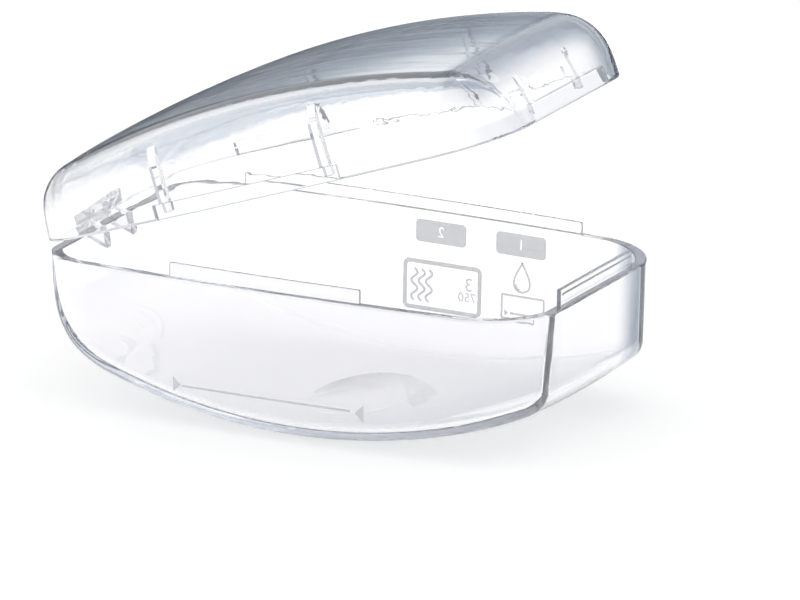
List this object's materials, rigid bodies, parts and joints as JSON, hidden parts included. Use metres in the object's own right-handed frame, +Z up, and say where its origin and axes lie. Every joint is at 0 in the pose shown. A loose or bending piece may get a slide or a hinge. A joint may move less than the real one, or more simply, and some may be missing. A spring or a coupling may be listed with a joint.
{
  "type": "pacifier steriliser case",
  "caption": "Clear plastic clamshell case for carrying and steam sterilising pacifiers: curved tray and domed lid joined by an end hinge, with rim lips that close it.",
  "frame": {"origin": "centre of the flat under the tray that the case stands on", "axes": "+X from the hinge end to the latch end, +Y to the back of the case, +Z up"},
  "size_m": [0.1269, 0.076, 0.087],
  "materials": {
    "clear_shell": "clear moulded plastic, polished",
    "clear_pin": "natural plastic rod"
  },
  "bodies": {
    "tray": {"tray_shell": "clear_shell", "hinge_pin": "clear_pin"},
    "lid": {"lid_shell": "clear_shell"}
  },
  "joints": [
    {"name": "lid_hinge", "type": "hinge", "parent": "tray", "child": "lid", "pos_m": [-0.0672, 0, 0.0329], "axis": [0, -1, 0], "range_deg": [-19.1, 95.9]}
  ]
}
